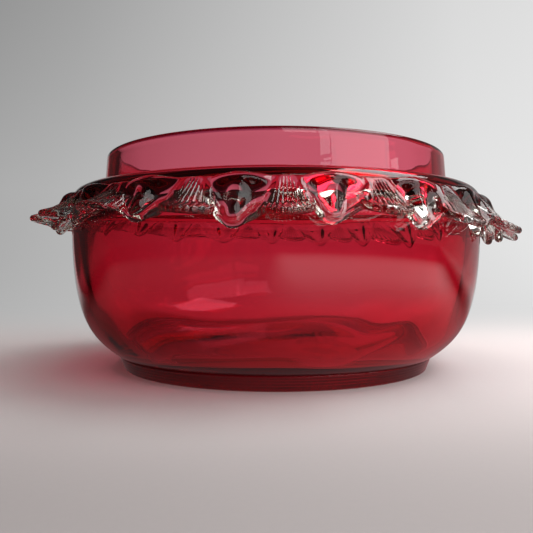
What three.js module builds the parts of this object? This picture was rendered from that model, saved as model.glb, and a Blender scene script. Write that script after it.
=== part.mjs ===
// A hand-blown bowl of cranberry glass: the ruby vessel with its short upright collar, the
// ruby foot ring applied under it, and a thick colourless trail laid round the shoulder and
// pinched into a frill, where ribbed shells alternate with hanging folds.
// Millimetres, +Z up, the origin on the table under the middle of the bowl. The front of the
// bowl looks along -Y.

import * as THREE from "three";

// Vessel
const rimRadius = 50;            // outside of the ground rim
const collarHeight = 9.5;        // rim above the collar's root
const collarFlare = 0.7;         // how much wider the collar is at its root
const collarFillet = 0.45;       // hollow fillet between collar and shoulder
const shoulderFall = 0.5;        // drop from the collar's root to the shoulder turn
const shoulderTurn = 3.6;        // radius of the turn from shoulder into side
const bodyRadius = 59.65;        // widest outside radius
const bellyHeight = 38;          // widest point above the vessel's own base
const sideHeight = 5.5;          // upright stretch between the belly and the shoulder turn
const bellyFullness = 26;        // how far down the side stays nearly upright
const baseRadius = 46.7;         // where the rounded side meets the base
const heelSpread = 8.5;          // the heel's curve leaves the base this far out
const heelRise = 5.8;            // and this far up
const kickRadius = 41;           // start of the pushed-up middle of the base
const kickHeight = 2;
const pontilRadius = 9;          // polished hollow where the rod was broken off
const pontilDepth = 0.6;

// Glass thickness
const collarWall = 3.4;
const shoulderWall = 3.4;
const bellyWall = 4.5;
const heelWall = 5;
const floorWall = 4.6;
const rimRounding = 0.35;        // fire-softened edges of the ground rim

// Foot ring
const footHeight = 3.7;
const footWidth = 5.6;           // breadth of the ring at its seat
const footDraft = 1.2;           // how far its outside draws in at the table
const footRounding = 0.6;
const seatClearance = 0.3;       // between pieces that are fused on the real bowl

// Frill
const shellCount = 19;
const foldAngle = 11;            // degrees from the front to the nearest fold, towards +X
const rootTop = 0.55;             // where the trail begins, above the start of the shoulder turn
const rootBottom = -4.6;         // and where it ends on the upright side
const shellHalfWidth = 0.275;    // share of the pitch from mid shell to its side
const foldHalfWidth = 0.24;      // and from mid fold to its side
const keelFlat = 0.14;           // share of a fold's half width that is the keel's flat face
const keelFoot = 0.54;           // and where the keel runs out into the flank
const keelLean = -0.06;          // share of the pitch that a keel's tip stands aside
const crestArch = 1;             // 1 rounds a fold's back like an arch, less makes it broader
const lipArch = 0.45;            // the same for its hanging edge
const dropSway = 2.4;            // the lip hangs lower on the +X side than on the -X side
const dropWander = 0.9;          // how far no two crimps are alike: in drop, in reach
const reachWander = 0.3;
const spacingWander = 0.9;       // and, in degrees, in place
const ribCount = 4;              // main ribs that the tool pressed into a shell
const ribHeight = 0.4;
const imprintDepth = 0.42;       // how far the tool sank between shell and lip
const imprintTop = 0.4;          // how far down the shell it started, from 0 to 1
const fanTop = 0.8;              // breadth of a shell at its root, at mid length and at its lip
const fanMiddle = 0.58;

// The trail's cross-section runs between four forms. Each has its top side from the top of the
// root, its lip (middle, radius and the way it points) and its underside down to the bottom of
// the root, as distances out and up
const shellForm = {
  top: [[0.15, 0.35], [0.85, 0.2], [2.25, -1.15], [3.9, -2.6], [6, -4.25], [7.95, -5.75]],
  lip: [10.1, -7.6, 1.15, -38],
  under: [[8.6, -3.1], [6, -1.9], [3.4, -0.9], [1.1, -0.3]],
};
const neckForm = {
  top: [[0.12, 0.3], [0.6, 0.05], [1.65, -1.25], [2.55, -2.55], [3.35, -3.85], [4.15, -4.85]],
  lip: [4.55, -6.45, 1.25, -60],
  under: [[3.3, -1.9], [2.4, -1.6], [1.5, -1.1], [0.7, -0.5]],
};
const flankForm = {
  top: [[0.3, 0.8], [1.5, 1.15], [2.8, 0.1], [1.7, -1.9], [1.8, -3.9], [3, -6]],
  lip: [4.7, -8.7, 1.2, -92],
  under: [[2.7, -3.1], [2, -2.2], [1.4, -1.3], [0.8, -0.6]],
};
const keelForm = {
  top: [[0.3, 0.8], [1.6, 1.2], [3, 0.3], [2.7, -1.6], [4.4, -3.8], [5.7, -6.3]],
  lip: [5, -9.25, 1.3, -98],
  under: [[4.2, -3.4], [3.5, -2.2], [2.4, -1.1], [1.1, -0.4]],
};

// Facets
const turnSteps = 56;

const { smoothstep, lerp, degToRad } = THREE.MathUtils;
const point = (radius, height) => new THREE.Vector2(radius, height);

// Heights that follow from the sizes above
const baseZ = footHeight + seatClearance;
const bellyZ = baseZ + bellyHeight;
const turnZ = bellyZ + sideHeight;
const turnCentre = point(bodyRadius - shoulderTurn, turnZ);
const collarRadius = rimRadius + collarFlare;

// The shoulder's straight slope touches the turn and ends under the collar's root
function shoulderSlope() {
  let steepness = 0;
  let start = point(0, 0);
  for (let pass = 0; pass < 12; pass += 1) {
    start = point(
      turnCentre.x + shoulderTurn * Math.sin(steepness),
      turnCentre.y + shoulderTurn * Math.cos(steepness),
    );
    steepness = Math.atan2(shoulderFall, start.x - collarRadius);
  }
  return { start, steepness };
}

const slope = shoulderSlope();
const collarZ = slope.start.y + shoulderFall;
const rimZ = collarZ + collarHeight;

// The outside of the wall, walked up from the base to the rim: each station is a point and
// the direction that faces out of the glass
function station(at, tangent) {
  return { at, out: point(tangent.y, -tangent.x).normalize() };
}

function trace(curve, steps) {
  const stations = [];
  for (let i = 0; i <= steps; i += 1) {
    stations.push(station(curve.getPoint(i / steps), curve.getTangent(i / steps)));
  }
  return stations;
}

function outerWall() {
  const heel = new THREE.CubicBezierCurve(
    point(baseRadius, baseZ),
    point(baseRadius + heelSpread, baseZ + heelRise),
    point(bodyRadius, bellyZ - bellyFullness),
    point(bodyRadius, bellyZ),
  );
  const turn = new THREE.EllipseCurve(
    turnCentre.x, turnCentre.y, shoulderTurn, shoulderTurn, 0, Math.PI / 2 - slope.steepness,
  );
  const slopeIn = point(-Math.cos(slope.steepness), Math.sin(slope.steepness));
  const collarUp = point(-collarFlare, collarHeight).normalize();
  const root = point(collarRadius, collarZ);
  const fillet = new THREE.QuadraticBezierCurve(
    root.clone().addScaledVector(slopeIn, -collarFillet),
    root,
    root.clone().addScaledVector(collarUp, collarFillet),
  );
  const rimEdge = point(rimRadius, rimZ).addScaledVector(collarUp, -rimRounding);
  return [
    ...trace(heel, 8),
    ...trace(turn, 4),
    ...trace(fillet, 2),
    station(rimEdge, collarUp),
  ];
}

// The wall thins on its way up, as blown glass does
function wallAt(z) {
  const side = lerp(heelWall, bellyWall, smoothstep(z, baseZ, bellyZ));
  const shoulder = lerp(side, shoulderWall, smoothstep(z, bellyZ, turnZ + shoulderTurn));
  return lerp(shoulder, collarWall, smoothstep(z, collarZ - collarFillet, collarZ + collarFillet));
}

function underside() {
  const kickZ = baseZ + kickHeight;
  const pontil = new THREE.QuadraticBezierCurve(
    point(0, kickZ + pontilDepth),
    point(pontilRadius / 2, kickZ + pontilDepth),
    point(pontilRadius, kickZ),
  );
  const kick = new THREE.CubicBezierCurve(
    point(pontilRadius, kickZ),
    point((pontilRadius + kickRadius) / 2, kickZ),
    point((pontilRadius + 2 * kickRadius) / 3, baseZ),
    point(kickRadius, baseZ),
  );
  return [...pontil.getPoints(2), ...kick.getPoints(4).slice(1)];
}

function floorFrom(corner) {
  const floorZ = baseZ + kickHeight + pontilDepth + floorWall;
  const floor = new THREE.CubicBezierCurve(
    corner,
    point(corner.x - heelSpread, corner.y - heelRise / 4),
    point(corner.x / 3, floorZ),
    point(0, floorZ),
  );
  return floor.getPoints(5).slice(1);
}

function bowl() {
  const wall = outerWall();
  const outside = wall.map(({ at }) => at);
  const inside = wall
    .map(({ at, out }) => at.clone().addScaledVector(out, -wallAt(at.y)))
    .reverse();
  const rim = [
    point(rimRadius - rimRounding, rimZ),
    point(rimRadius - collarWall + rimRounding, rimZ),
  ];
  const floor = floorFrom(inside[inside.length - 1]);
  floor[floor.length - 1].x = 0;
  const profile = [...underside(), ...outside, ...rim, ...inside, ...floor];
  return new THREE.LatheGeometry(profile, turnSteps);
}

// The ring's outside leans in towards the table; its seat lies under the base
function footRing() {
  const seatRadius = baseRadius - seatClearance;
  const tread = seatRadius - footDraft;
  const inner = seatRadius - footWidth;
  const profile = [
    point(inner + footRounding, 0),
    point(tread - footRounding, 0),
    point(tread, footRounding),
    point(seatRadius, footHeight - footRounding),
    point(seatRadius - footRounding, footHeight),
    point(inner, footHeight),
    point(inner, footRounding),
  ];
  profile.push(profile[0].clone());
  return new THREE.LatheGeometry(profile, turnSteps);
}

// The outside of the vessel with the clearance on it, by height above the start of the turn
function seatAt(rise) {
  const reach = shoulderTurn + seatClearance;
  if (rise <= 0) return point(turnCentre.x + reach, turnZ + rise);
  const angle = Math.asin(rise / reach);
  return point(turnCentre.x + reach * Math.cos(angle), turnCentre.y + reach * Math.sin(angle));
}

// Slow changes round the trail, from -1 to 1
function roaming(turn, start) {
  return 0.55 * Math.sin(5 * turn + start) + 0.45 * Math.sin(8 * turn + 2.3 * start);
}

// How much of each form there is at one place along the trail, as a share of the pitch from
// mid shell
function shares(away) {
  const side = Math.abs(away);
  const fromFold = (0.5 - side) / foldHalfWidth;
  const inFold = Math.max(0, 1 - fromFold ** 2);
  return {
    shell: Math.max(0, 1 - (side / shellHalfWidth) ** 2) ** 0.85,
    crest: inFold ** crestArch,
    fold: inFold ** lipArch,
    keel: 1 - smoothstep(fromFold, keelFlat, keelFoot),
  };
}

function blended(part, index, { shell, fold, keel }) {
  const [inShell, inNeck, inFlank, inKeel] = [shellForm, neckForm, flankForm, keelForm]
    .map((form) => (index === undefined ? form[part] : form[part][index]));
  return inNeck.map((size, i) =>
    size + (inShell[i] - size) * shell + (inFlank[i] - size) * fold + (inKeel[i] - inFlank[i]) * keel,
  );
}

// A shell is narrow where the tool began and spreads like a fan towards its lip
function fanned(away, along) {
  const waist = lerp(fanTop, fanMiddle, smoothstep(along, 0, 0.35));
  const narrow = shellHalfWidth * lerp(waist, 1, smoothstep(along, 0.3, 1));
  const side = Math.abs(away);
  if (side <= shellHalfWidth) return (away * narrow) / shellHalfWidth;
  return Math.sign(away) * lerp(narrow, 0.5, (side - shellHalfWidth) / (0.5 - shellHalfWidth));
}

// How far the tool pressed the top of the shell in, with its ribs standing up from there
function imprint(away, along, ridge) {
  const side = Math.min(Math.abs(away) / shellHalfWidth, 1);
  const start = lerp(imprintTop, 0.95, side ** 2);
  const pressed = smoothstep(along, start - 0.1, start + 0.2) * (1 - smoothstep(along, 0.85, 1));
  const ribbed = smoothstep(along, start, start + 0.2) * (1 - smoothstep(side, 0.86, 1));
  return ribHeight * (ridge - 0.5) * ribbed - imprintDepth * pressed * (1 - smoothstep(side, 0.8, 1));
}

// One closed cross-section of the trail: up its root, out along its top, round the lip and
// back underneath, each point with its place from the root, 0, to the lip, 1
function frillSection(turn, away, ridge) {
  const here = shares(away);
  const top = seatAt(rootTop);
  const bottom = seatAt(rootBottom);
  const sway = dropSway * Math.sin(turn) * Math.max(here.shell, 0.65 * here.fold);
  const wander = point(
    reachWander * (roaming(turn, 2.9) - 1),
    -sway - dropWander * roaming(turn, 14.86),
  );
  const [lipOut, lipUp, lipRadius, lipAngle] = blended("lip", undefined, here);
  const ahead = point(Math.cos(degToRad(lipAngle)), Math.sin(degToRad(lipAngle)));
  const back = point(-ahead.y, ahead.x);
  const lipMiddle = point(lipOut, lipUp).add(top).add(wander);
  const section = [bottom, seatAt(0), top].map((at) => ({ at, along: 0 }));
  const topCount = shellForm.top.length;
  for (let i = 0; i < topCount; i += 1) {
    const along = (i + 1) / (topCount + 1);
    const arched = { ...here, fold: i < 3 ? here.crest : here.fold };
    const at = point(...blended("top", i, arched)).add(top);
    at.addScaledVector(wander, ((i + 1) / topCount) ** 2);
    at.addScaledVector(back, imprint(away, along, ridge));
    section.push({ at, along });
  }
  const atLip = ribHeight * (ridge - 0.5) * (1 - smoothstep(Math.abs(away), 0, shellHalfWidth));
  for (const [angle, ribbed] of [[90, atLip], [30, atLip], [-30, atLip], [-90, 0]]) {
    const reach = lipRadius + ribbed;
    const at = lipMiddle.clone()
      .addScaledVector(ahead, reach * Math.cos(degToRad(angle)))
      .addScaledVector(back, reach * Math.sin(degToRad(angle)));
    section.push({ at, along: 1 });
  }
  const underCount = shellForm.under.length;
  for (let i = 0; i < underCount; i += 1) {
    const along = 1 - (i + 1) / (underCount + 1);
    const at = point(...blended("under", i, here)).add(bottom);
    at.addScaledVector(wander, along ** 2);
    at.x = Math.max(at.x, bodyRadius + seatClearance);
    section.push({ at, along });
  }
  return section;
}

// The places of the sections along one crimp, as shares of the pitch from mid shell: across the
// shell, where every other one stands on a rib, and then across the fold beside it
function crimpPlaces() {
  const places = [];
  for (let i = 0; i < 2 * ribCount; i += 1) {
    places.push({ away: lerp(-shellHalfWidth, shellHalfWidth, i / (2 * ribCount)), ridge: i % 2 });
  }
  const flat = foldHalfWidth * keelFlat;
  const foot = foldHalfWidth * keelFoot;
  for (const away of [shellHalfWidth, 0.5 - foot, 0.5 - flat, 0.5 + flat, 0.5 + foot]) {
    places.push({ away, ridge: 0 });
  }
  return places;
}

function frillRings() {
  const pitch = (2 * Math.PI) / shellCount;
  const rings = [];
  for (let shell = 0; shell < shellCount; shell += 1) {
    for (const place of crimpPlaces()) {
      const away = place.away <= 0.5 ? place.away : place.away - 1;
      const crimp = place.away <= 0.5 ? shell + 0.5 : shell + 1.5;
      const zero = degToRad(foldAngle) + pitch * crimp;
      const turn = zero + pitch * away;
      const lean = keelLean * shares(away).fold;
      const wander = degToRad(spacingWander) * roaming(turn, 1.67);
      rings.push(
        frillSection(turn, away, place.ridge).map(({ at, along }) => {
          const angle = zero + pitch * (fanned(away, along) + lean * along) + wander;
          return [at.x * Math.sin(angle), -at.x * Math.cos(angle), at.y];
        }),
      );
    }
  }
  return rings;
}

// A closed loop of rings, each one the same number of points
function looped(rings) {
  const size = rings[0].length;
  const indices = [];
  for (let i = 0; i < rings.length; i += 1) {
    for (let j = 0; j < size; j += 1) {
      const here = i * size;
      const next = ((i + 1) % rings.length) * size;
      const k = (j + 1) % size;
      indices.push(here + j, here + k, next + j, here + k, next + k, next + j);
    }
  }
  const geometry = new THREE.BufferGeometry();
  geometry.setAttribute("position", new THREE.Float32BufferAttribute(rings.flat(2), 3));
  geometry.setIndex(indices);
  geometry.computeVertexNormals();
  return geometry;
}

const rubyGlass = new THREE.MeshStandardMaterial({
  color: 0xa3243b, roughness: 0.04, metalness: 0, transparent: true, opacity: 0.7,
});
const clearGlass = new THREE.MeshStandardMaterial({
  color: 0xdfe0dc, roughness: 0.03, metalness: 0, transparent: true, opacity: 0.35,
});

// A lathe turns about +Y, so its pieces are stood up to +Z
function turned(name, geometry, material) {
  const mesh = new THREE.Mesh(geometry, material);
  mesh.name = name;
  mesh.rotation.x = Math.PI / 2;
  return mesh;
}

const glassBowl = new THREE.Group();
glassBowl.name = "cranberry_glass_bowl";
glassBowl.add(turned("bowl", bowl(), rubyGlass));
glassBowl.add(turned("foot_ring", footRing(), rubyGlass));

const frill = new THREE.Mesh(looped(frillRings()), clearGlass);
frill.name = "frill";
glassBowl.add(frill);

export default glassBowl;
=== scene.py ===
import math

import bmesh
import bpy
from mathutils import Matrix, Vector


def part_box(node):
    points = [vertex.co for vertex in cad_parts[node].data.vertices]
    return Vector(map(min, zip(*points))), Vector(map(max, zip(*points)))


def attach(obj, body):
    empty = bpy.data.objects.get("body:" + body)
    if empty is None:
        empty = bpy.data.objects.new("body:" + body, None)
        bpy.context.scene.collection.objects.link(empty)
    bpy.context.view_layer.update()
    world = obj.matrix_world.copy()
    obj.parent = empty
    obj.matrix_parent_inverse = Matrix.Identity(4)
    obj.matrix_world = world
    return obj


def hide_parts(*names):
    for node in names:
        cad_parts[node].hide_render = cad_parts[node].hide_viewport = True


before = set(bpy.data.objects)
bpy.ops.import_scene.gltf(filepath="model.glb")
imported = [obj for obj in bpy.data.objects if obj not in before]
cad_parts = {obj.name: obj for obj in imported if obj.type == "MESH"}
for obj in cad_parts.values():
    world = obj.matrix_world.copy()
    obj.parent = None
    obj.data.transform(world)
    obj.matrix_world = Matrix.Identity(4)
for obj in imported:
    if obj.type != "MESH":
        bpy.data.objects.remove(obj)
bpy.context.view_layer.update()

millimetre = 0.001
print("frame loaded")


# Camera, placed by the bowl's rim, side and foot in the photograph
cameraValues = {
    "distance": 0.1833,  # metres from the bowl's middle
    "height": 0.0290,
    "sideways": -0.0026,
    "tiltUp": 0.12,  # degrees
    "lens": 40.1,  # millimetres
    "sensorWidth": 36,
    "clipStart": 0.005,
}


def placeCamera(v):
    bpy.ops.object.camera_add(location=(v["sideways"], -v["distance"], v["height"]))
    camera = bpy.context.object
    camera.name = "photoCamera"
    camera.rotation_euler = (math.radians(90 + v["tiltUp"]), 0, 0)
    camera.data.lens = v["lens"]
    camera.data.sensor_width = v["sensorWidth"]
    camera.data.clip_start = v["clipStart"]
    bpy.context.scene.camera = camera


placeCamera(cameraValues)


# Shader maths: a wire stands for a socket, and expressions on wires add Math nodes
class Wire:
    def __init__(self, material, socket):
        self.material = material
        self.socket = socket

    def maths(self, operation, *values):
        return self.material.add("ShaderNodeMath", {"operation": operation}, dict(enumerate(values)))

    def __add__(self, other):
        return self.maths("ADD", self, other)

    def __radd__(self, other):
        return self.maths("ADD", other, self)

    def __sub__(self, other):
        return self.maths("SUBTRACT", self, other)

    def __rsub__(self, other):
        return self.maths("SUBTRACT", other, self)

    def __mul__(self, other):
        return self.maths("MULTIPLY", self, other)

    def __rmul__(self, other):
        return self.maths("MULTIPLY", other, self)

    def __truediv__(self, other):
        return self.maths("DIVIDE", self, other)

    def __getitem__(self, name):
        return Wire(self.material, self.socket.node.outputs[name])


class Finish:
    def __init__(self, name, world=None):
        holder = world or bpy.data.materials.new(name)
        holder.use_nodes = True
        self.holder = holder
        self.tree = holder.node_tree
        self.tree.nodes.clear()

    def add(self, kind, settings=None, values=None):
        node = self.tree.nodes.new(kind)
        for key, value in (settings or {}).items():
            if key == "stops":
                self.setStops(node.color_ramp, value)
            else:
                setattr(node, key, value)
        for key, value in (values or {}).items():
            if isinstance(value, Wire):
                self.tree.links.new(value.socket, node.inputs[key])
            else:
                node.inputs[key].default_value = value
        return Wire(self, node.outputs[0]) if node.outputs else node

    def setStops(self, ramp, stops):
        while len(ramp.elements) < len(stops):
            ramp.elements.new(0.5)
        for element, (place, shade) in zip(ramp.elements, stops):
            element.position = place
            element.color = shade


def grey(value):
    return (value, value, value, 1)


# Runs from one end to the other while a value crosses a span
def spread(finish, value, span, ends=(0.0, 1.0), eased=True):
    return finish.add(
        "ShaderNodeMapRange", {"interpolation_type": "SMOOTHSTEP" if eased else "LINEAR"},
        {
            "Value": value, "From Min": span[0], "From Max": span[1],
            "To Min": ends[0], "To Max": ends[1],
        },
    )


def rampOver(finish, value, stops):
    low, high = stops[0][0], stops[-1][0]
    share = spread(finish, value, (low, high), eased=False)
    places = [((place - low) / (high - low), grey(shade)) for place, shade in stops]
    return finish.add("ShaderNodeValToRGB", {"stops": places}, {0: share})


def larger(first, second):
    return first.maths("MAXIMUM", first, second)


def atMostOne(value):
    return value.maths("MINIMUM", value, 1.0)


def scaled(finish, colour, factor):
    return finish.add("ShaderNodeVectorMath", {"operation": "SCALE"}, {0: colour, "Scale": factor})


def tinted(finish, colour, tint):
    return finish.add("ShaderNodeVectorMath", {"operation": "MULTIPLY"}, {0: colour, 1: tint})


def mixColours(finish, share, first, second):
    node = finish.add(
        "ShaderNodeMix", {"data_type": "RGBA"}, {0: share, 6: first, 7: second}
    )
    return Wire(finish, node.socket.node.outputs[2])


def mixShaders(finish, share, first, second):
    return finish.add("ShaderNodeMixShader", None, {0: share, 1: first, 2: second})


def emission(finish, colour, strength=1.0):
    return finish.add("ShaderNodeEmission", None, {"Color": colour, "Strength": strength})


# Studio: a sweep of pale card, darkest at the left, with the room and its lamps around it.
# Places are in metres from the bowl's middle, and a pair of them is a span over which
# something changes: Across from left to right, Away from the front, Reach outwards. Shades
# are the brightness at its two ends.
studioValues = {
    "halfWidth": 1.6,
    "front": -0.9,
    "bendStart": 0.10,
    "bendRadius": 0.35,
    "bendSteps": 24,
    # the lit floor, its colour painted darker towards the left and towards the front: painted shade
    "floorAcross": (-0.12, 0.12),
    "floorShades": (0.54, 0.89),
    "floorAway": (-0.12, -0.03),
    "floorFront": 0.585,
    "floorWarmth": (1.07, 0.975, 0.96),
    "fibreScale": 900.0,
    "fibreDetail": 3.0,
    "fibreShades": (0.985, 0.03),  # the least, and what the fibres add
    # what the bowl's light does to it, red at the left and plain shade at the right
    "glowReach": (0.046, 0.088),
    "glowAcross": (0.02, -0.06),
    "glowTint": (0.72, 0.42, 0.46),
    "shadeAcross": (0.01, 0.04),
    "shadeTint": (0.84, 0.86, 0.87),
    # light that the bowl gathers beneath it, seen through it
    "underReach": (0.040, 0.043),
    "underAcross": (-0.03, 0.04),
    "underShades": (0.1, 1.0),
    "underTint": (0.60, 0.22, 0.27),
    # where the lit floor hands over to the even backdrop
    "paperAway": (0.03, 0.17),
    # the backdrop's brightness from left to right, as the camera and as the glass sees it
    "paperSeen": [
        (-0.30, 0.42), (-0.20, 0.48), (0.0, 0.65), (0.2, 0.81), (0.3, 0.83), (0.48, 0.6),
        (0.66, 0.2), (1.0, 0.12),
    ],
    "paperMirrored": [
        (-0.30, 0.30), (-0.20, 0.46), (0.0, 0.60), (0.14, 0.74), (0.22, 0.45), (0.27, 0.36),
        (0.36, 0.36), (0.42, 0.26), (1.0, 0.15),
    ],
    # it grows darker with height and near the floor, less so to the right
    "paperAcross": (-0.3, 0.35),
    "paperRight": 0.3,
    "paperFall": 0.42,
    "paperHeight": 0.45,
    "lowHeight": (0.0, 0.1),
    "lowDim": 0.25,
    # through the glass, the card is painted dark at the left, a painted shade for a dark room beyond,
    # as if the card ended there
    "cardEnds": (-0.135, -0.105),
    "cardLean": 0.449,
    "beyondCard": 0.035,
    # the floor in the glass's reflections: bright at the right, as far as the table goes
    "mirroredAcross": (-0.02, 0.03),
    "mirroredShades": (0.16, 1.35),
    "mirroredAway": (0.03, -0.03),
    "mirroredEnd": (0.46, 0.26),
    "mirroredTint": (1.0, 0.86, 0.86),
    # and close to the bowl, whose light reddens it
    "nearReach": (0.06, 0.20),
    "nearAcross": (-0.05, 0.02),
    "nearShades": (0.35, 1.0),
    "nearTint": (0.40, 0.18, 0.19),
    # the room
    "roomFill": 0.45,  # what the floor alone gets from all sides
    "roomSeen": 0.55,
    "roomAcross": (-0.4, 0.9),
    "roomLeft": (0.022, 0.022, 0.024),
    "roomRight": (0.10, 0.10, 0.098),
}


# 1 for rays that reach a surface straight from the camera, or through glass but not mirrored
def straightRays(finish):
    path = finish.add("ShaderNodeLightPath")
    unmirrored = 1 - atMostOne(path["Glossy Depth"])
    return larger(path["Is Camera Ray"], path["Is Transmission Ray"] * unmirrored)


def addCard(v):
    bpy.ops.object.select_all(action="DESELECT")
    bpy.ops.mesh.primitive_plane_add(size=1, location=(0, 0, 0))
    card = bpy.context.object
    card.name = "card_sweep"
    profile = [(v["front"], 0.0), (v["bendStart"], 0.0)]
    for i in range(1, v["bendSteps"] + 1):
        angle = i / v["bendSteps"] * math.pi / 2
        profile.append((
            v["bendStart"] + v["bendRadius"] * math.sin(angle),
            v["bendRadius"] * (1 - math.cos(angle)),
        ))
    mesh = bmesh.new()
    rows = [
        [mesh.verts.new((side * v["halfWidth"], y, z)) for side in (-1, 1)] for y, z in profile
    ]
    for lower, upper in zip(rows, rows[1:]):
        mesh.faces.new((lower[0], lower[1], upper[1], upper[0]))
    mesh.to_mesh(card.data)
    mesh.free()
    for face in card.data.polygons:
        face.use_smooth = True
    return card


def litFloor(finish, place, axes, reach, v):
    # Painted shade: the floor's colour is made darker towards the left and towards the front
    paintedSideShade = spread(finish, axes["X"], v["floorAcross"], v["floorShades"])
    paintedFrontShade = spread(finish, axes["Y"], v["floorAway"], (v["floorFront"], 1.0))
    fibre = finish.add(
        "ShaderNodeTexNoise", None,
        {"Vector": place, "Scale": v["fibreScale"], "Detail": v["fibreDetail"]},
    )
    least, added = v["fibreShades"]
    paper = paintedSideShade * paintedFrontShade * (least + added * fibre)
    warm = scaled(finish, v["floorWarmth"], paper)
    near = spread(finish, reach, v["glowReach"], (1.0, 0.0))
    leftward = spread(finish, axes["X"], v["glowAcross"], eased=False)
    warm = mixColours(finish, near * leftward, warm, tinted(finish, warm, v["glowTint"]))
    rightward = spread(finish, axes["X"], v["shadeAcross"], eased=False)
    warm = mixColours(finish, near * rightward, warm, tinted(finish, warm, v["shadeTint"]))
    return finish.add("ShaderNodeBsdfDiffuse", None, {"Color": warm})


def backdrop(finish, axes, v):
    seen = rampOver(finish, axes["X"], v["paperSeen"])
    mirrored = rampOver(finish, axes["X"], v["paperMirrored"])
    shade = mixColours(finish, straightRays(finish), mirrored, seen)
    leftness = spread(finish, axes["X"], v["paperAcross"], (1.0, v["paperRight"]), eased=False)
    low = spread(finish, axes["Z"], v["lowHeight"], (v["lowDim"], 0.0), eased=False)
    falling = 1 - leftness * axes["Z"] * v["paperFall"] / v["paperHeight"]
    return emission(finish, shade, falling - (leftness - v["paperRight"]) * low)


def mirroredFloor(finish, axes, reach, v):
    sideways = spread(finish, axes["X"], v["mirroredAcross"], v["mirroredShades"])
    onTable = spread(finish, reach, v["mirroredEnd"])
    ahead = spread(finish, axes["Y"], v["mirroredAway"])
    distant = scaled(finish, v["mirroredTint"], sideways * onTable * ahead)
    nearSideways = spread(finish, axes["X"], v["nearAcross"], v["nearShades"])
    close = scaled(finish, v["nearTint"], nearSideways)
    apart = spread(finish, reach, v["nearReach"])
    return emission(finish, mixColours(finish, apart, close, distant))


def makeSweep(v):
    card = addCard(v)
    finish = Finish("pale_card")
    place = finish.add("ShaderNodeTexCoord")["Object"]
    axes = finish.add("ShaderNodeSeparateXYZ", None, {0: place})
    reach = finish.add("ShaderNodeVectorMath", {"operation": "LENGTH"}, {0: place})["Value"]
    path = finish.add("ShaderNodeLightPath")
    looked = larger(path["Is Camera Ray"], path["Is Transmission Ray"])
    looked = larger(looked, path["Is Glossy Ray"])
    throughGlass = looked * (1 - path["Is Camera Ray"])
    handOver = spread(finish, axes["Y"], v["paperAway"])
    floor = litFloor(finish, place, axes, reach, v)
    mixed = mixShaders(finish, looked * handOver, floor, backdrop(finish, axes, v))
    # Painted shade: rays through the glass see the card dark at the left
    edge = axes["X"] + v["cardLean"] * axes["Y"]
    beyond = throughGlass * spread(finish, edge, v["cardEnds"], (1.0, 0.0))
    mixed = mixShaders(finish, beyond, mixed, emission(finish, grey(v["beyondCard"])))
    under = throughGlass * spread(finish, reach, v["underReach"], (1.0, 0.0), eased=False)
    rightward = spread(finish, axes["X"], v["underAcross"], v["underShades"], eased=False)
    gathered = emission(finish, (*v["underTint"], 1), rightward)
    mixed = mixShaders(finish, under, mixed, gathered)
    mirrored = atMostOne(path["Glossy Depth"]) * looked * (1 - handOver)
    mixed = mixShaders(finish, mirrored, mixed, mirroredFloor(finish, axes, reach, v))
    finish.add("ShaderNodeOutputMaterial", None, {"Surface": mixed})
    card.data.materials.append(finish.holder)


makeSweep(studioValues)

# Each lamp's place as seen from the bowl, in degrees, and its brightness against white
lampValues = {
    "window": {"azimuth": (33, 75), "elevation": (8, 45), "distance": 0.9, "radiance": 2.0},
    "windowUpper": {"azimuth": (26, 33), "elevation": (20.9, 45), "distance": 0.9, "radiance": 2.0},
    "windowLower": {"azimuth": (26, 33), "elevation": (8, 19.5), "distance": 0.9, "radiance": 2.0},
    "windowGap": {
        "azimuth": (28.5, 33), "elevation": (20.3, 20.55), "distance": 0.9, "radiance": 2.0,
    },
    "windowSill": {"azimuth": (11, 26), "elevation": (14, 18.8), "distance": 0.9, "radiance": 2.0},
    "windowFoot": {"azimuth": (75, 81), "elevation": (8, 18.8), "distance": 0.9, "radiance": 2.0},
    "windowTop": {"azimuth": (4, 26), "elevation": (27, 45), "distance": 0.9, "radiance": 2.0},
    "skylight": {"azimuth": (60, 120), "elevation": (42, 72), "distance": 1.0, "radiance": 4.6},
}


def addLamps(values):
    for name, v in values.items():
        left, right = (math.radians(a) for a in v["azimuth"])
        low, high = (math.radians(a) for a in v["elevation"])
        turn, rise = (left + right) / 2, (low + high) / 2
        towards = Vector((
            math.sin(turn) * math.cos(rise), -math.cos(turn) * math.cos(rise), math.sin(rise)
        ))
        bpy.ops.object.light_add(type="AREA", location=towards * v["distance"])
        lamp = bpy.context.object
        lamp.name = name
        lamp.rotation_euler = towards.to_track_quat("Z", "Y").to_euler()
        lamp.data.shape = "RECTANGLE"
        lamp.data.size = 2 * v["distance"] * math.tan((right - left) / 2) * math.cos(rise)
        lamp.data.size_y = 2 * v["distance"] * math.tan((high - low) / 2)
        lamp.data.energy = v["radiance"] * math.pi * lamp.data.size * lamp.data.size_y


addLamps(lampValues)


def makeWorld(v):
    world = bpy.data.worlds.new("room")
    bpy.context.scene.world = world
    finish = Finish("room", world)
    direction = finish.add("ShaderNodeTexCoord")["Generated"]
    across = finish.add("ShaderNodeSeparateXYZ", None, {0: direction})["X"]
    share = spread(finish, across, v["roomAcross"])
    dim = mixColours(finish, share, (*v["roomLeft"], 1), (*v["roomRight"], 1))
    path = finish.add("ShaderNodeLightPath")
    shade = mixColours(finish, path["Is Camera Ray"], dim, grey(v["roomSeen"]))
    afterFloor = atMostOne(path["Diffuse Depth"])
    shade = mixColours(finish, afterFloor, shade, grey(v["roomFill"]))
    background = finish.add("ShaderNodeBackground", None, {"Color": shade, "Strength": 1.0})
    finish.add("ShaderNodeOutputWorld", None, {"Surface": background})


makeWorld(studioValues)
print("studio ready")


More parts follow.
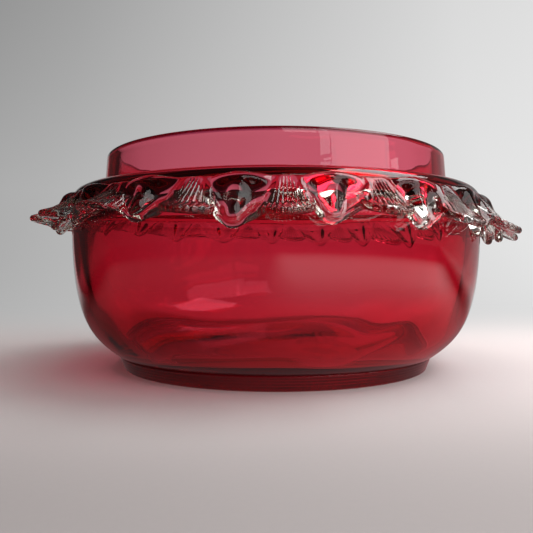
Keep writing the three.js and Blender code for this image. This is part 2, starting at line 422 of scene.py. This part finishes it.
# Glass: what a depth of it passes, and the tint of its surface by height, in metres
rubyValues = {
    "passed": (0.912, 0.019, 0.24),
    "density": 262.0,  # per metre
    "ior": 1.5,
    "thinTint": (0.98, 0.42, 0.50),  # the collar, blown thinnest, holds the least colour
    "fullTint": (0.91, 0.47, 0.54),
    "tintSpan": (0.053, 0.046),
    # painted shade: the rim's colour is painted darker, standing in for the deeper colour seen where
    # one looks down into the wall
    "edgeTint": (0.28, 0.04, 0.11),  # the rim, where one looks down into the wall
    "edgeSpan": (0.0601, 0.0604),
}
clearValues = {
    "passed": (0.826, 0.826, 0.764),
    "density": 200.0,
    "ior": 1.5,
    "thinTint": (0.99, 0.99, 0.985),
    "fullTint": (0.97, 0.975, 0.96),
    "tintSpan": (0.049, 0.038),
}
# The foot ring is a gather of the deepest colour
footGlassValues = {
    "passed": (0.80, 0.01, 0.15),
    "density": 400.0,
    "fullTint": (0.40, 0.11, 0.13),
}
surfaceValues = {
    "smudge": 0.012,  # roughness where the glass is smudged most
    "smudgeScale": 55.0,
    "smudgeDetail": 4.0,
    "smudgeSpan": (0.56, 0.75),
    "waveScale": 70.0,
    "waveDepth": 0.00002,
}


def glassFinish(name, v, surface):
    finish = Finish(name)
    place = finish.add("ShaderNodeTexCoord")["Object"]
    height = finish.add("ShaderNodeSeparateXYZ", None, {0: place})["Z"]
    share = spread(finish, height, v["tintSpan"])
    tint = mixColours(finish, share, (*v["thinTint"], 1), (*v["fullTint"], 1))
    # Painted shade: a darker colour painted on the rim
    if "edgeTint" in v:
        edge = spread(finish, height, v["edgeSpan"])
        tint = mixColours(finish, edge, tint, (*v["edgeTint"], 1))
    cloud = finish.add(
        "ShaderNodeTexNoise", None,
        {"Vector": place, "Scale": surface["smudgeScale"], "Detail": surface["smudgeDetail"]},
    )
    smudge = spread(finish, cloud, surface["smudgeSpan"], (0.0, surface["smudge"]), eased=False)
    waves = finish.add(
        "ShaderNodeTexNoise", None, {"Vector": place, "Scale": surface["waveScale"], "Detail": 1.0}
    )
    bump = finish.add(
        "ShaderNodeBump", None,
        {"Height": waves, "Distance": surface["waveDepth"], "Strength": 1.0},
    )
    free = finish.add(
        "ShaderNodeBsdfPrincipled", None,
        {
            "Base Color": tint, "Roughness": smudge, "Normal": bump,
            "IOR": v["ior"], "Transmission Weight": 1.0,
        },
    )
    joined = finish.add(
        "ShaderNodeBsdfPrincipled", None,
        {"Base Color": (1, 1, 1, 1), "Roughness": 0.0, "IOR": 1.0, "Transmission Weight": 1.0},
    )
    fused = finish.add("ShaderNodeAttribute", {"attribute_name": "fused"})["Fac"]
    both = mixShaders(finish, fused, free, joined)
    inside = finish.add(
        "ShaderNodeVolumeAbsorption", None,
        {"Color": (*v["passed"], 1), "Density": v["density"]},
    )
    finish.add("ShaderNodeOutputMaterial", None, {"Surface": both, "Volume": inside})
    return finish.holder


rubyGlass = glassFinish("ruby_glass", rubyValues, surfaceValues)
footGlass = glassFinish("deep_ruby_glass", {**rubyValues, **footGlassValues}, surfaceValues)
clearGlass = glassFinish("clear_glass", clearValues, surfaceValues)


# Marks the faces where two pieces are one glass, so that nothing reflects between them
def markFused(piece, isFused):
    mesh = piece.data
    marks = mesh.attributes.new("fused", "FLOAT", "FACE")
    for face in mesh.polygons:
        marks.data[face.index].value = 1.0 if isFused(face) else 0.0


# Curves of the profile, as points of radius and height
def bezier(points, steps):
    p0, p1, p2, p3 = (Vector(p) for p in points)
    run = []
    for i in range(steps + 1):
        t = i / steps
        u = 1 - t
        run.append(u**3 * p0 + 3 * u * u * t * p1 + 3 * u * t * t * p2 + t**3 * p3)
    return run


def arc(centre, radius, start, end, steps):
    run = []
    for i in range(steps + 1):
        angle = start + (end - start) * i / steps
        run.append(Vector((
            centre[0] + radius * math.cos(angle), centre[1] + radius * math.sin(angle)
        )))
    return run


# Points that part a straight run evenly, without its ends
def between(first, last, parts):
    return [first.lerp(last, i / parts) for i in range(1, parts)]


def mix(a, b, share):
    return a + (b - a) * share


def smooth(value, low, high):
    t = min(max((value - low) / (high - low), 0.0), 1.0)
    return t * t * (3 - 2 * t)


# Unit normals that point outwards from a run of points going up
def outwards(run):
    normals = []
    for i, p in enumerate(run):
        ahead = run[min(i + 1, len(run) - 1)]
        behind = run[max(i - 1, 0)]
        along = (ahead - behind).normalized()
        normals.append(Vector((along.y, -along.x)))
    return normals


# Vessel, in millimetres, with its heights taken from the frame
vesselValues = {
    "rimRadius": 50.0,
    "rimRounding": 0.65,
    "rimShort": 0.3,  # radians by which the rounding stops short of each side
    "collarFlare": 0.7,
    "collarFillet": 0.45,
    "filletPull": 0.4,
    "shoulderFall": 0.5,
    "shoulderTurn": 3.6,
    "bodyRadius": 59.65,
    "bellyHeight": 38.0,
    "sideHeight": 5.5,
    "bellyFullness": 26.0,
    "baseRadius": 46.7,
    "heelSpread": 8.5,
    "heelRise": 5.8,
    "kickRadius": 41.0,
    "kickHeight": 2.0,
    "pontilRadius": 9.0,
    "pontilDepth": 0.6,
    "collarWall": 3.4,
    "shoulderWall": 3.4,
    "bellyWall": 4.5,
    "heelWall": 5.0,
    "floorWall": 4.6,
    "innerCut": 2.0,  # how far below the shoulder turn the shelf may reach
    "innerLean": 6.0,  # and where the inside starts to lean in
    "innerShelf": 2.7,  # how wide the shoulder is flat on its inside
    "shelfPull": (2.2, -0.3),  # how the lean runs out of the shelf
    "sidePull": 3.2,  # and out of the side
    "footWidth": 5.6,  # of the foot ring fused to the base
    "fusedBase": 0.3,  # faces this close to the base and to the side count as fused
    "fusedSide": 1.0,
    "heelSteps": 48,
    "shoulderSteps": 24,
    "filletSteps": 8,
    "innerSteps": 22,
    "pontilSteps": 8,
    "kickSteps": 24,
    "floorSteps": 30,
    "rimSteps": 4,
    "sideParts": (3, 4),  # below the frill's root and beside it
    "slopeParts": 5,
    "collarParts": 8,
    "spinSteps": 240,
}

# The frill is laid on the wall between these heights from the start of the shoulder turn
rootTop, rootBottom = 0.55, -2.8


class Vessel:
    def __init__(self, v):
        self.v = v
        lowest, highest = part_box("bowl")
        self.baseZ = lowest.z / millimetre
        self.rimZ = highest.z / millimetre
        self.bellyZ = self.baseZ + v["bellyHeight"]
        self.turnZ = self.bellyZ + v["sideHeight"]
        self.turnCentre = Vector((v["bodyRadius"] - v["shoulderTurn"], self.turnZ))
        self.collarRadius = v["rimRadius"] + v["collarFlare"]
        # the slope of the shoulder touches the turn: each pass comes closer to its steepness
        self.steepness = 0.0
        for _ in range(12):
            start = self.turnCentre + v["shoulderTurn"] * Vector(
                (math.sin(self.steepness), math.cos(self.steepness))
            )
            self.steepness = math.atan2(v["shoulderFall"], start.x - self.collarRadius)
        self.collarZ = start.y + v["shoulderFall"]

    def wallAt(self, z):
        v = self.v
        side = mix(v["heelWall"], v["bellyWall"], smooth(z, self.baseZ, self.bellyZ))
        shoulder = mix(
            side, v["shoulderWall"], smooth(z, self.bellyZ, self.turnZ + v["shoulderTurn"])
        )
        fillet = v["collarFillet"]
        return mix(shoulder, v["collarWall"], smooth(z, self.collarZ - fillet, self.collarZ + fillet))

    # The outside with a gap on it, by height above the start of the shoulder turn
    def seatAt(self, rise, gap):
        reach = self.v["shoulderTurn"] + gap
        if rise <= 0:
            return self.turnCentre + Vector((reach, rise))
        angle = math.asin(rise / reach)
        return self.turnCentre + reach * Vector((math.cos(angle), math.sin(angle)))

    def outside(self):
        v = self.v
        heel = bezier(
            [
                (v["baseRadius"], self.baseZ),
                (v["baseRadius"] + v["heelSpread"], self.baseZ + v["heelRise"]),
                (v["bodyRadius"], self.bellyZ - v["bellyFullness"]),
                (v["bodyRadius"], self.bellyZ),
            ],
            v["heelSteps"],
        )
        steepest = math.pi / 2 - self.steepness
        turn = arc(self.turnCentre, v["shoulderTurn"], 0, steepest, v["shoulderSteps"])
        root = Vector((self.collarRadius, self.collarZ))
        slopeIn = Vector((-math.cos(self.steepness), math.sin(self.steepness)))
        collarUp = Vector((-v["collarFlare"], self.rimZ - self.collarZ)).normalized()
        size, pull = v["collarFillet"], v["filletPull"]
        fillet = bezier(
            [
                root - slopeIn * size,
                root - slopeIn * size * pull,
                root + collarUp * size * pull,
                root + collarUp * size,
            ],
            v["filletSteps"],
        )
        rimEdge = Vector((v["rimRadius"], self.rimZ)) - collarUp * v["rimRounding"]
        seat = Vector((v["bodyRadius"], self.turnZ + rootBottom))
        below, beside = v["sideParts"]
        side = between(heel[-1], seat, below) + [seat] + between(seat, turn[0], beside)
        slope = between(turn[-1], fillet[0], v["slopeParts"])
        collar = between(fillet[-1], rimEdge, v["collarParts"]) + [rimEdge]
        return heel + side + turn + slope + fillet + collar

    def inside(self):
        v = self.v
        outside = self.outside()
        inside = [p - n * self.wallAt(p.y) for p, n in zip(outside, outwards(outside))][::-1]
        shelfTop = self.turnZ - v["innerCut"]
        shelfEnd = v["rimRadius"] - v["collarWall"] + v["innerShelf"]
        above = [p for p in inside if p.y > shelfTop and p.x < shelfEnd]
        below = [p for p in inside if p.y < self.turnZ - v["innerLean"]]
        lean = bezier(
            [
                above[-1],
                above[-1] + Vector(v["shelfPull"]),
                below[0] + Vector((0, v["sidePull"])),
                below[0],
            ],
            v["innerSteps"],
        )
        return above + lean[1:-1] + below

    def underside(self):
        v = self.v
        kickZ = self.baseZ + v["kickHeight"]
        pontil, kick, depth = v["pontilRadius"], v["kickRadius"], v["pontilDepth"]
        mark = bezier(
            [
                (0, kickZ + depth),
                (pontil / 3, kickZ + depth),
                (pontil * 2 / 3, kickZ + depth * 2 / 3),
                (pontil, kickZ),
            ],
            v["pontilSteps"],
        )
        rise = bezier(
            [
                (pontil, kickZ),
                ((pontil + kick) / 2, kickZ),
                ((pontil + 2 * kick) / 3, self.baseZ),
                (kick, self.baseZ),
            ],
            v["kickSteps"],
        )
        return mark + rise[1:]

    def profile(self):
        v = self.v
        inside = self.inside()
        corner = inside[-1]
        floorZ = self.baseZ + v["kickHeight"] + v["pontilDepth"] + v["floorWall"]
        floor = bezier(
            [
                corner,
                (corner.x - v["heelSpread"], corner.y - v["heelRise"] / 4),
                (corner.x / 3, floorZ),
                (0, floorZ),
            ],
            v["floorSteps"],
        )
        rounding, short = v["rimRounding"], v["rimShort"]
        outer = (v["rimRadius"] - rounding, self.rimZ - rounding)
        inner = (v["rimRadius"] - v["collarWall"] + rounding, self.rimZ - rounding)
        rim = arc(outer, rounding, short, math.pi / 2, v["rimSteps"])
        rim += arc(inner, rounding, math.pi / 2, math.pi - short, v["rimSteps"])
        return self.underside() + self.outside() + rim + inside[1:] + floor[1:]


def spinProfile(name, profile, steps, closed):
    bpy.ops.object.select_all(action="DESELECT")
    bpy.ops.mesh.primitive_plane_add(size=0.01)
    piece = bpy.context.object
    piece.name = name
    shape = bmesh.new()
    corners = [shape.verts.new((p.x * millimetre, 0, p.y * millimetre)) for p in profile]
    for first, second in zip(corners, corners[1:]):
        shape.edges.new((first, second))
    if closed:
        shape.edges.new((corners[-1], corners[0]))
    shape.to_mesh(piece.data)
    shape.free()
    bpy.ops.object.mode_set(mode="EDIT")
    bpy.ops.mesh.select_all(action="SELECT")
    bpy.ops.mesh.spin(
        steps=steps, angle=math.tau, center=(0, 0, 0), axis=(0, 0, 1), use_auto_merge=True
    )
    bpy.ops.mesh.select_all(action="SELECT")
    bpy.ops.mesh.remove_doubles(threshold=1e-6)
    bpy.ops.mesh.normals_make_consistent(inside=False)
    bpy.ops.object.mode_set(mode="OBJECT")
    bpy.ops.object.shade_smooth()
    return piece


vessel = Vessel(vesselValues)

# Hand-blown glass is never quite even: how far each side of the wall wanders, in millimetres
unevenValues = {
    "outside": 0.05,
    "inside": 0.12,
    "flutes": 0.07,
    "floor": 0.5,
    "floorTop": (11.0, 20.0),  # the heights over which the wall takes over from the floor
    "innerDepth": 1.5,  # what lies this far within the outline is on the inside
    # nothing wanders where the foot ring, the rim's rounding and the frill's root are
    "baseHeight": 2.9,
    "baseReach": 46.0,
    "rimBand": 1.0,
    "rootBand": (3.0, 6.0),
}


# The outside's radius at a height
def outsideRadius(z, run):
    for lower, upper in zip(run, run[1:]):
        if lower.y <= z <= upper.y:
            return mix(lower.x, upper.x, (z - lower.y) / max(upper.y - lower.y, 1e-9))
    return run[0].x if z < run[0].y else run[-1].x


# Waves that go a whole number of times round, some of them drifting with height
def wander(x, y, z, inside, v):
    turn = math.atan2(x, -y)
    if not inside:
        return v["outside"] * (0.6 * math.sin(2 * turn + 0.4) + 0.4 * math.sin(3 * turn + z / 9))
    wall = v["inside"] * (
        0.5 * math.sin(2 * turn + 1.1)
        + 0.35 * math.sin(5 * turn + z / 7)
        + 0.15 * math.sin(13 * turn - z / 4)
    )
    broad = 0.5 + 0.5 * math.sin(3 * turn + 0.7)
    wall += v["flutes"] * broad * math.sin(17 * turn + 0.9 * math.sin(z / 11))
    fine = 0.6 * (0.5 - 0.5 * math.sin(2 * turn + 1.9))
    wall += v["flutes"] * fine * math.sin(29 * turn + 2.2)
    pool = v["floor"] * (
        0.6 * math.sin(x / 5.1 + 1.3 * math.sin(y / 8.3)) * math.cos(y / 6.2 + 0.8)
        + 0.4 * math.sin(x / 8.7 - y / 5.4 + 2.1)
    )
    return mix(pool, wall, smooth(z, *v["floorTop"]))


def makeBowl(v):
    bowl = spinProfile("bowl_glass", vessel.profile(), vesselValues["spinSteps"], closed=False)
    run = vessel.outside()
    rootMiddle = vessel.turnZ + (rootTop + rootBottom) / 2
    mesh = bowl.data
    moves = []
    for corner in mesh.vertices:
        x, y, z = corner.co / millimetre
        reach = math.hypot(x, y)
        underneath = z < vessel.baseZ + v["baseHeight"] and reach < v["baseReach"]
        if underneath or z > vessel.rimZ - v["rimBand"]:
            moves.append(Vector((0, 0, 0)))
            continue
        inside = reach < outsideRadius(z, run) - v["innerDepth"]
        clear = 1.0 if inside else smooth(abs(z - rootMiddle), *v["rootBand"])
        moves.append(corner.normal * wander(x, y, z, inside, v) * clear * millimetre)
    for corner, move in zip(mesh.vertices, moves):
        corner.co += move
    mesh.materials.append(rubyGlass)
    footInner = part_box("foot_ring")[1].x / millimetre - vesselValues["footWidth"]
    fusedTop = vessel.baseZ + vesselValues["fusedBase"]
    fusedReach = vesselValues["bodyRadius"] - vesselValues["fusedSide"]

    def isFused(face):
        x, y, z = face.center / millimetre
        reach = math.hypot(x, y)
        onFoot = z < fusedTop and footInner < reach < vesselValues["baseRadius"]
        onFrill = reach > fusedReach and rootBottom <= z - vessel.turnZ <= rootTop
        return onFoot or onFrill

    markFused(bowl, isFused)
    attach(bowl, "root")
    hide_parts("bowl")


makeBowl(unevenValues)
print("bowl made")

footValues = {
    "width": vesselValues["footWidth"],
    "draft": 1.2,
    "rounding": 0.6,
    "spinSteps": 240,
    "gap": 0.02,
    "fusedTop": 0.02,  # faces this close to the top count as fused
    "treadTilt": 0.2,  # radians by which the roundings stop short of the outer side
    "topTilt": 0.1,
    "treadSteps": 6,
    "topSteps": 4,
    "drawnDepth": 0.05,  # the fine lines that drawing the trail out left round it
    "drawnPace": 1.9,
    "drawnSteps": 14,
}


def makeFoot(v):
    top = vessel.baseZ - v["gap"]
    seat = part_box("foot_ring")[1].x / millimetre
    inner = seat - v["width"]
    tread = seat - v["draft"]
    r = v["rounding"]
    lower = arc((tread - r, r), r, -math.pi / 2, -v["treadTilt"], v["treadSteps"])
    upper = arc(
        (seat - r / 2, top - r / 2), r / 2, -v["topTilt"], math.pi / 2, v["topSteps"]
    )
    drawn = []
    for i in range(1, v["drawnSteps"]):
        depth = v["drawnDepth"] * (1 - math.cos(v["drawnPace"] * i))
        drawn.append(lower[-1].lerp(upper[0], i / v["drawnSteps"]) - Vector((depth, 0)))
    profile = (
        lower + drawn + upper
        + arc((inner + r / 2, top - r / 2), r / 2, math.pi / 2, math.pi, v["topSteps"])
        + arc((inner + r, r), r, math.pi, math.pi * 1.5, v["treadSteps"])
    )
    foot = spinProfile("foot_ring_glass", profile, v["spinSteps"], closed=True)
    foot.data.materials.append(footGlass)
    markFused(foot, lambda face: face.center.z / millimetre > top - v["fusedTop"])
    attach(foot, "root")
    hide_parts("foot_ring")


makeFoot(footValues)
print("foot ring made")


# Frill: one trail swept round the shoulder. Its cross-section changes along the trail between
# four forms: the middle of a pinched shell, the neck beside it, and the hollow flank and the
# keel of the fold that hangs between two shells. Each form is given by points of its top side,
# its lip (middle, radius and the way it points) and its underside, from the top and bottom of
# the root.
frillValues = {
    "shellCount": 19,
    "foldAngle": 11.0,
    "shell": {
        "top": [
            (0.15, 0.35), (0.85, 0.2), (2.25, -1.15), (3.9, -2.6), (6.0, -4.25), (7.95, -5.75),
        ],
        "lip": (10.2, -7.7, 0.85, -38.0),
        "under": [(8.6, -4.5), (6.0, -3.0), (3.4, -1.6), (1.1, -0.6)],
    },
    "neck": {
        "top": [
            (0.12, 0.3), (0.6, 0.05), (1.65, -1.25), (2.55, -2.55), (3.35, -3.85), (4.15, -4.85),
        ],
        "lip": (4.6, -6.5, 1.0, -60.0),
        "under": [(3.3, -3.4), (2.4, -2.9), (1.5, -2.0), (0.7, -0.9)],
    },
    "flank": {
        "top": [(0.3, 0.75), (1.4, 1.0), (2.4, 0.0), (1.9, -1.9), (1.9, -3.9), (2.9, -6.0)],
        "lip": (4.7, -8.8, 1.0, -92.0),
        "under": [(2.7, -4.9), (2.0, -3.9), (1.4, -2.8), (0.8, -1.4)],
    },
    "keel": {
        "top": [(0.3, 0.75), (1.5, 1.1), (2.9, 0.2), (3.3, -1.7), (4.4, -3.9), (5.7, -6.3)],
        "lip": (5.0, -9.4, 1.1, -98.0),
        "under": [(4.2, -5.2), (3.5, -4.0), (2.4, -2.6), (1.1, -1.1)],
    },
    "shellHalfWidth": 0.275,  # shares of the pitch
    "foldHalfWidth": 0.24,
    "keelFlat": 0.05,  # shares of the fold's half width
    "keelFoot": 0.60,
    "keelLean": -0.06,  # share of the pitch that a keel's tip stands aside
    "shellArch": 0.85,  # 1 rounds a form like an arch, less makes it broader
    "crestArch": 1.0,  # the fold's back
    "lipArch": 0.75,  # and its hanging edge
    "sideCrest": 0.45,  # how much of the crest is left on folds at the sides
    "crestPoints": 3,  # how many points of the top side belong to the crest
    "spacingWander": 0.9,  # degrees
    "reachWander": 0.3,
    "dropWander": 0.9,
    "dropSway": 2.4,  # the lip hangs lower on one side than on the other
    "foldSway": 0.65,  # and a fold sways less than a shell
    "seatGap": 0.02,
    "ribCount": 10,
    "ribHeight": 0.42,
    "ribMiddle": 0.55,  # the level between crest and groove that stays in place
    "lipRibs": 0.8,  # how much of the ribs is left on the lip
    "lipRibSpan": (-0.9, 0.2),  # they fade under it, by how high the point is on its rounding
    "imprintDepth": 0.42,
    # shares of the shell's half width over which the ribs and the pinch run out
    "ribEdge": (0.86, 1.0),
    "imprintEdge": (0.8, 1.0),
    # places from the root, 0, to the lip, 1
    "lipFrom": 0.8,
    "imprintTop": 0.24,  # where the pinch starts in mid shell
    "imprintSide": 0.95,  # and at the shell's side
    "imprintLead": 0.1,
    "imprintRun": 0.2,
    "imprintEnd": (0.85, 1.0),
    "fanStart": (0.0, 0.35),
    "fanSpread": (0.3, 1.0),
    # a shell's width at its root and below it, as shares of its width at the lip
    "fanTop": 0.85,
    "fanMiddle": 0.66,
    "shellStations": 50,
    "foldStations": 30,
    "topSteps": 28,
    "lipSteps": 9,
    "underSteps": 12,
    "rootSteps": 7,
}


# A smooth curve through points
def through(points, steps):
    run = []
    ends = [points[0]] + list(points) + [points[-1]]
    spans = len(points) - 1
    for i in range(steps + 1):
        place = i / steps * spans
        k = min(int(place), spans - 1)
        t = place - k
        a, b, c, d = (Vector(p) for p in ends[k:k + 4])
        run.append(
            0.5 * (2 * b + (c - a) * t + (2 * a - 5 * b + 4 * c - d) * t * t
                   + (3 * b - a - 3 * c + d) * t ** 3)
        )
    return run


# Places along the trail: the shell and the share of the pitch from its middle
def frillStations(v):
    half = v["shellHalfWidth"]
    stations = []
    for shell in range(v["shellCount"]):
        for i in range(v["shellStations"]):
            stations.append((shell, mix(-half, half, i / v["shellStations"])))
        for i in range(v["foldStations"]):
            stations.append((shell, mix(half, 1 - half, i / v["foldStations"])))
    return stations


# The share of the pitch that a point moves to, as each shell fans out towards its lip
def fanned(away, along, v):
    half = v["shellHalfWidth"]
    fan = mix(v["fanTop"], v["fanMiddle"], smooth(along, *v["fanStart"]))
    narrow = half * mix(fan, 1.0, smooth(along, *v["fanSpread"]))
    side = abs(away)
    if side <= half:
        return away * narrow / half
    return math.copysign(mix(narrow, 0.5, (side - half) / (0.5 - half)), away)


# How much of each form a place has, by its share of the pitch from mid shell
def shares(away, v):
    side = abs(away)
    inShell = max(0.0, 1 - (side / v["shellHalfWidth"]) ** 2)
    fromFold = (0.5 - side) / v["foldHalfWidth"]
    inFold = max(0.0, 1 - fromFold ** 2)
    keel = 1 - smooth(fromFold, v["keelFlat"], v["keelFoot"])
    return inShell ** v["shellArch"], inFold ** v["crestArch"], inFold ** v["lipArch"], keel


# The four forms' values, mixed by those shares
def blended(values, shellShare, foldShare, keelShare):
    shell, neck, flank, keel = values
    return tuple(
        n + (s - n) * shellShare + (f - n) * foldShare + (k - f) * keelShare
        for s, n, f, k in zip(shell, neck, flank, keel)
    )


# Slow changes round the trail, from -1 to 1, so that no two crimps are alike
def roaming(turn, start):
    return 0.55 * math.sin(5 * turn + start) + 0.45 * math.sin(8 * turn + 2.3 * start)


# Where each of those changes starts
dropStart, reachStart, spacingStart = 14.86, 2.9, 1.67


# How far the tool moved the top side inwards, by the share of the way to the lip, the share of
# the shell's half width and the height of the rib there
def pressedAt(along, side, ridge, v):
    start = mix(v["imprintTop"], v["imprintSide"], min(side, 1.0) ** 2)
    end = start + v["imprintRun"]
    sunk = smooth(along, start - v["imprintLead"], end) * (1 - smooth(along, *v["imprintEnd"]))
    sunk *= 1 - smooth(side, *v["imprintEdge"])
    ribbed = smooth(along, start, end) * (1 - smooth(side, *v["ribEdge"]))
    ribbed *= mix(1.0, v["lipRibs"], smooth(along, v["lipFrom"], 1.0))
    return ribbed * v["ribHeight"] * (ridge - v["ribMiddle"]) - v["imprintDepth"] * sunk


# The points that the top side and the underside run through, and the lip between them
def outline(away, turnHere, v):
    shellShare, crestShare, foldShare, keelShare = shares(away, v)
    mixed = shellShare, foldShare, keelShare
    forms = v["shell"], v["neck"], v["flank"], v["keel"]
    top = vessel.seatAt(rootTop, v["seatGap"])
    bottom = vessel.seatAt(rootBottom, v["seatGap"])
    sway = v["dropSway"] * math.sin(turnHere) * max(shellShare, v["foldSway"] * foldShare)
    sway += v["dropWander"] * roaming(turnHere, dropStart)
    reachOut = v["reachWander"] * (roaming(turnHere, reachStart) - 1)
    shift = Vector((reachOut, -sway))
    crestShare *= mix(v["sideCrest"], 1.0, math.cos(turnHere) ** 2)
    lipX, lipZ, lipRadius, lipAngle = blended([form["lip"] for form in forms], *mixed)
    lipCentre = top + Vector((lipX, lipZ)) + shift
    ahead = Vector((math.cos(math.radians(lipAngle)), math.sin(math.radians(lipAngle))))
    up = Vector((-ahead.y, ahead.x))
    upperPoints = [top]
    for i, places in enumerate(zip(*(form["top"] for form in forms))):
        fold = crestShare if i < v["crestPoints"] else foldShare
        place = blended(places, shellShare, fold, keelShare)
        upperPoints.append(top + Vector(place) + shift * ((i + 1) / 6) ** 2)
    upperPoints.append(lipCentre + up * lipRadius)
    lowerPoints = [lipCentre - up * lipRadius]
    for i, places in enumerate(zip(*(form["under"] for form in forms))):
        place = blended(places, *mixed)
        lowerPoints.append(bottom + Vector(place) + shift * ((4 - i) / 5) ** 2)
    lowerPoints.append(bottom)
    return upperPoints, lowerPoints, (lipCentre, lipRadius, ahead, up)


# One cross-section, each point with its share of the way from root to lip
def crossSection(away, turnHere, v):
    upperPoints, lowerPoints, (lipCentre, lipRadius, ahead, up) = outline(away, turnHere, v)
    side = abs(away) / v["shellHalfWidth"]
    ridge = abs(math.sin(math.pi * v["ribCount"] * (away / v["shellHalfWidth"] + 1) / 2))
    upper = through(upperPoints, v["topSteps"])
    normals = outwards(upper)
    for i, place in enumerate(upper):
        upper[i] = place - normals[i] * pressedAt(i / v["topSteps"], side, ridge, v)
    ribs = v["lipRibs"] * v["ribHeight"] * (ridge - v["ribMiddle"])
    ribs *= 1 - smooth(side, *v["ribEdge"])
    lip = []
    for i in range(1, v["lipSteps"]):
        angle = mix(math.pi / 2, -math.pi / 2, i / v["lipSteps"])
        reach = lipRadius + ribs * smooth(math.sin(angle), *v["lipRibSpan"])
        lip.append(lipCentre + (ahead * math.cos(angle) + up * math.sin(angle)) * reach)
    lower = through(lowerPoints, v["underSteps"])
    wall = vesselValues["bodyRadius"] + v["seatGap"]
    for place in lower:
        place.x = max(place.x, wall)
    root = [
        vessel.seatAt(mix(rootBottom, rootTop, i / v["rootSteps"]), v["seatGap"])
        for i in range(1, v["rootSteps"])
    ]
    alongs = (
        [i / v["topSteps"] for i in range(v["topSteps"] + 1)] + [1.0] * len(lip)
        + [1 - i / v["underSteps"] for i in range(v["underSteps"] + 1)] + [0.0] * len(root)
    )
    return zip(upper + lip + lower + root, alongs)


# The cross-section at a station, placed round the bowl
def frillRing(shellIndex, across, v):
    away = across if across <= 0.5 else across - 1
    crimp = shellIndex if across <= 0.5 else shellIndex + 1
    pitch = math.tau / v["shellCount"]
    zero = math.radians(v["foldAngle"]) + pitch / 2
    turnHere = zero + pitch * (crimp + away)
    foldShare = shares(away, v)[2]
    spacing = math.radians(v["spacingWander"]) * roaming(turnHere, spacingStart)
    points = []
    for place, along in crossSection(away, turnHere, v):
        lean = v["keelLean"] * foldShare * along
        turn = zero + pitch * (crimp + fanned(away, along, v) + lean) + spacing
        points.append(Vector((place.x * math.sin(turn), -place.x * math.cos(turn), place.y)))
    return points


def makeFrill(v):
    stations = frillStations(v)
    rings = [frillRing(shell, across, v) for shell, across in stations]
    size = len(rings[0])
    mesh = bpy.data.meshes.new("frill_glass")
    points = [p * millimetre for ring in rings for p in ring]
    faces = []
    for i in range(len(rings)):
        here, there = i * size, (i + 1) % len(rings) * size
        for j in range(size):
            k = (j + 1) % size
            faces.append((here + j, here + k, there + k, there + j))
    mesh.from_pydata([tuple(p) for p in points], [], faces)
    mesh.validate()
    frill = bpy.data.objects.new("frill_glass", mesh)
    bpy.context.collection.objects.link(frill)
    for face in mesh.polygons:
        face.use_smooth = True
    mesh.materials.append(clearGlass)
    rootStart = size - v["rootSteps"]
    markFused(frill, lambda face: face.index % size >= rootStart)
    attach(frill, "root")
    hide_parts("frill")
    return frill


frill = makeFrill(frillValues)
print("frill made", len(frill.data.polygons) * 2, "triangles")

scene = bpy.context.scene
scene.view_settings.view_transform = "Standard"
scene.cycles.max_bounces = 32
scene.cycles.transmission_bounces = 32
scene.cycles.glossy_bounces = 12
scene.cycles.transparent_max_bounces = 16
scene.cycles.volume_bounces = 2
